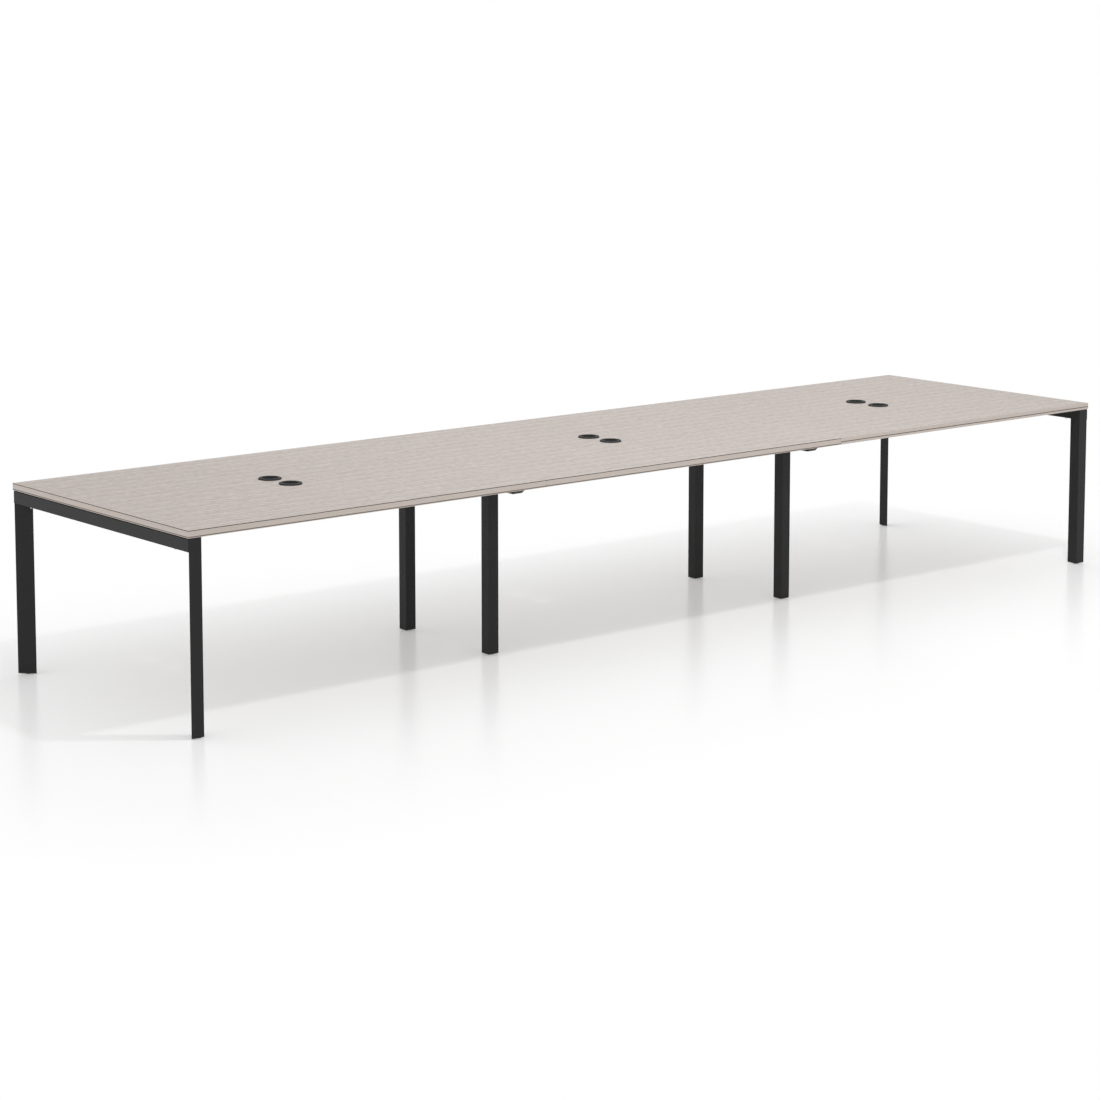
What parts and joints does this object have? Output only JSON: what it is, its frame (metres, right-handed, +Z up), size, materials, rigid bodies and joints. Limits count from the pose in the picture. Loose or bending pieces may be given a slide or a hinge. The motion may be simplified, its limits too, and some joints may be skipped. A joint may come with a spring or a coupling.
{
  "type": "multi-person workstation table",
  "caption": "Long office bench table: wood-look boards butted in a row, with cable grommets, on a black steel frame of triangular corner legs, square inner legs and tapered cross beams.",
  "frame": {"origin": "on the floor, below the middle of the table's plan", "axes": "+X along the table from the left end to the right end as pictured, +Y from the front long edge to the back one, +Z up"},
  "size_m": [4.7994, 1.24, 0.746],
  "materials": {
    "board": "matt pale grey-beige wood decor with fine bands along the table and short dashes across it",
    "edging": "matt beige plastic edging with a thin dark glue line",
    "frame_paint": "black powder coat, fine texture",
    "grommet_plastic": "black moulded plastic, satin flange",
    "foot_plastic": "black moulded plastic",
    "zinc_steel": "bright zinc plating"
  },
  "bodies": {
    "table": {"corner_leg_left_back": "frame_paint", "corner_leg_left_front": "frame_paint", "corner_leg_plugs": "foot_plastic", "corner_leg_right_back": "frame_paint", "corner_leg_right_front": "frame_paint", "cross_beam_left": "frame_paint", "cross_beam_right": "frame_paint", "end_rail_left": "frame_paint", "end_rail_right": "frame_paint", "end_rail_strip_left": "foot_plastic", "end_rail_strip_right": "foot_plastic", "grommet_left_back": "grommet_plastic", "grommet_left_front": "grommet_plastic", "grommet_middle_back": "grommet_plastic", "grommet_middle_front": "grommet_plastic", "grommet_right_back": "grommet_plastic", "grommet_right_front": "grommet_plastic", "inner_leg_left_back": "frame_paint", "inner_leg_left_front": "frame_paint", "inner_leg_plugs": "foot_plastic", "inner_leg_right_back": "frame_paint", "inner_leg_right_front": "frame_paint", "joining_plates": "frame_paint", "joining_screws": "zinc_steel", "rail_bolts": "zinc_steel", "side_rail_left_back": "frame_paint", "side_rail_left_front": "frame_paint", "side_rail_middle_back": "frame_paint", "side_rail_middle_front": "frame_paint", "side_rail_right_back": "frame_paint", "side_rail_right_front": "frame_paint", "top_board_left": "board", "top_board_middle": "board", "top_board_right": "board", "top_edging_left": "edging", "top_edging_middle": "edging", "top_edging_right": "edging", "top_screws": "zinc_steel", "top_spacers": "foot_plastic"},
    "foot_pad_corner_left_front": {"foot_pad_corner_left_front": "foot_plastic"},
    "foot_stud_corner_left_front": {"foot_stud_corner_left_front": "zinc_steel"},
    "foot_pad_inner_left_front": {"foot_pad_inner_left_front": "foot_plastic"},
    "foot_stud_inner_left_front": {"foot_stud_inner_left_front": "zinc_steel"},
    "foot_pad_corner_left_back": {"foot_pad_corner_left_back": "foot_plastic"},
    "foot_stud_corner_left_back": {"foot_stud_corner_left_back": "zinc_steel"},
    "foot_pad_inner_left_back": {"foot_pad_inner_left_back": "foot_plastic"},
    "foot_stud_inner_left_back": {"foot_stud_inner_left_back": "zinc_steel"},
    "foot_pad_corner_right_front": {"foot_pad_corner_right_front": "foot_plastic"},
    "foot_stud_corner_right_front": {"foot_stud_corner_right_front": "zinc_steel"},
    "foot_pad_inner_right_front": {"foot_pad_inner_right_front": "foot_plastic"},
    "foot_stud_inner_right_front": {"foot_stud_inner_right_front": "zinc_steel"},
    "foot_pad_corner_right_back": {"foot_pad_corner_right_back": "foot_plastic"},
    "foot_stud_corner_right_back": {"foot_stud_corner_right_back": "zinc_steel"},
    "foot_pad_inner_right_back": {"foot_pad_inner_right_back": "foot_plastic"},
    "foot_stud_inner_right_back": {"foot_stud_inner_right_back": "zinc_steel"}
  },
  "joints": [
    {"name": "slide_foot_corner_left_front", "type": "slide", "parent": "table", "child": "foot_pad_corner_left_front", "axis": [0, 0, -1], "range_m": [0, 0.015]},
    {"name": "turn_foot_corner_left_front", "type": "hinge", "parent": "foot_pad_corner_left_front", "child": "foot_stud_corner_left_front", "pos_m": [-2.35952, -0.60148, 0.007], "axis": [0, 0, -1], "range_deg": [0, 4325]},
    {"name": "slide_foot_inner_left_front", "type": "slide", "parent": "table", "child": "foot_pad_inner_left_front", "axis": [0, 0, -1], "range_m": [0, 0.015]},
    {"name": "turn_foot_inner_left_front", "type": "hinge", "parent": "foot_pad_inner_left_front", "child": "foot_stud_inner_left_front", "pos_m": [-0.8, -0.272, 0.007], "axis": [0, 0, -1], "range_deg": [0, 4325]},
    {"name": "slide_foot_corner_left_back", "type": "slide", "parent": "table", "child": "foot_pad_corner_left_back", "axis": [0, 0, -1], "range_m": [0, 0.015]},
    {"name": "turn_foot_corner_left_back", "type": "hinge", "parent": "foot_pad_corner_left_back", "child": "foot_stud_corner_left_back", "pos_m": [-2.35952, 0.60148, 0.007], "axis": [0, 0, -1], "range_deg": [0, 4325]},
    {"name": "slide_foot_inner_left_back", "type": "slide", "parent": "table", "child": "foot_pad_inner_left_back", "axis": [0, 0, -1], "range_m": [0, 0.015]},
    {"name": "turn_foot_inner_left_back", "type": "hinge", "parent": "foot_pad_inner_left_back", "child": "foot_stud_inner_left_back", "pos_m": [-0.8, 0.272, 0.007], "axis": [0, 0, -1], "range_deg": [0, 4325]},
    {"name": "slide_foot_corner_right_front", "type": "slide", "parent": "table", "child": "foot_pad_corner_right_front", "axis": [0, 0, -1], "range_m": [0, 0.015]},
    {"name": "turn_foot_corner_right_front", "type": "hinge", "parent": "foot_pad_corner_right_front", "child": "foot_stud_corner_right_front", "pos_m": [2.35952, -0.60148, 0.007], "axis": [0, 0, -1], "range_deg": [0, 4325]},
    {"name": "slide_foot_inner_right_front", "type": "slide", "parent": "table", "child": "foot_pad_inner_right_front", "axis": [0, 0, -1], "range_m": [0, 0.015]},
    {"name": "turn_foot_inner_right_front", "type": "hinge", "parent": "foot_pad_inner_right_front", "child": "foot_stud_inner_right_front", "pos_m": [0.8, -0.272, 0.007], "axis": [0, 0, -1], "range_deg": [0, 4325]},
    {"name": "slide_foot_corner_right_back", "type": "slide", "parent": "table", "child": "foot_pad_corner_right_back", "axis": [0, 0, -1], "range_m": [0, 0.015]},
    {"name": "turn_foot_corner_right_back", "type": "hinge", "parent": "foot_pad_corner_right_back", "child": "foot_stud_corner_right_back", "pos_m": [2.35952, 0.60148, 0.007], "axis": [0, 0, -1], "range_deg": [0, 4325]},
    {"name": "slide_foot_inner_right_back", "type": "slide", "parent": "table", "child": "foot_pad_inner_right_back", "axis": [0, 0, -1], "range_m": [0, 0.015]},
    {"name": "turn_foot_inner_right_back", "type": "hinge", "parent": "foot_pad_inner_right_back", "child": "foot_stud_inner_right_back", "pos_m": [0.8, 0.272, 0.007], "axis": [0, 0, -1], "range_deg": [0, 4325]}
  ],
  "couplings": [
    {"joint": "turn_foot_corner_left_front", "follows": "slide_foot_corner_left_front", "rad_per_m": 5026.5},
    {"joint": "turn_foot_inner_left_front", "follows": "slide_foot_inner_left_front", "rad_per_m": 5026.5},
    {"joint": "turn_foot_corner_left_back", "follows": "slide_foot_corner_left_back", "rad_per_m": 5026.5},
    {"joint": "turn_foot_inner_left_back", "follows": "slide_foot_inner_left_back", "rad_per_m": 5026.5},
    {"joint": "turn_foot_corner_right_front", "follows": "slide_foot_corner_right_front", "rad_per_m": 5026.5},
    {"joint": "turn_foot_inner_right_front", "follows": "slide_foot_inner_right_front", "rad_per_m": 5026.5},
    {"joint": "turn_foot_corner_right_back", "follows": "slide_foot_corner_right_back", "rad_per_m": 5026.5},
    {"joint": "turn_foot_inner_right_back", "follows": "slide_foot_inner_right_back", "rad_per_m": 5026.5}
  ]
}
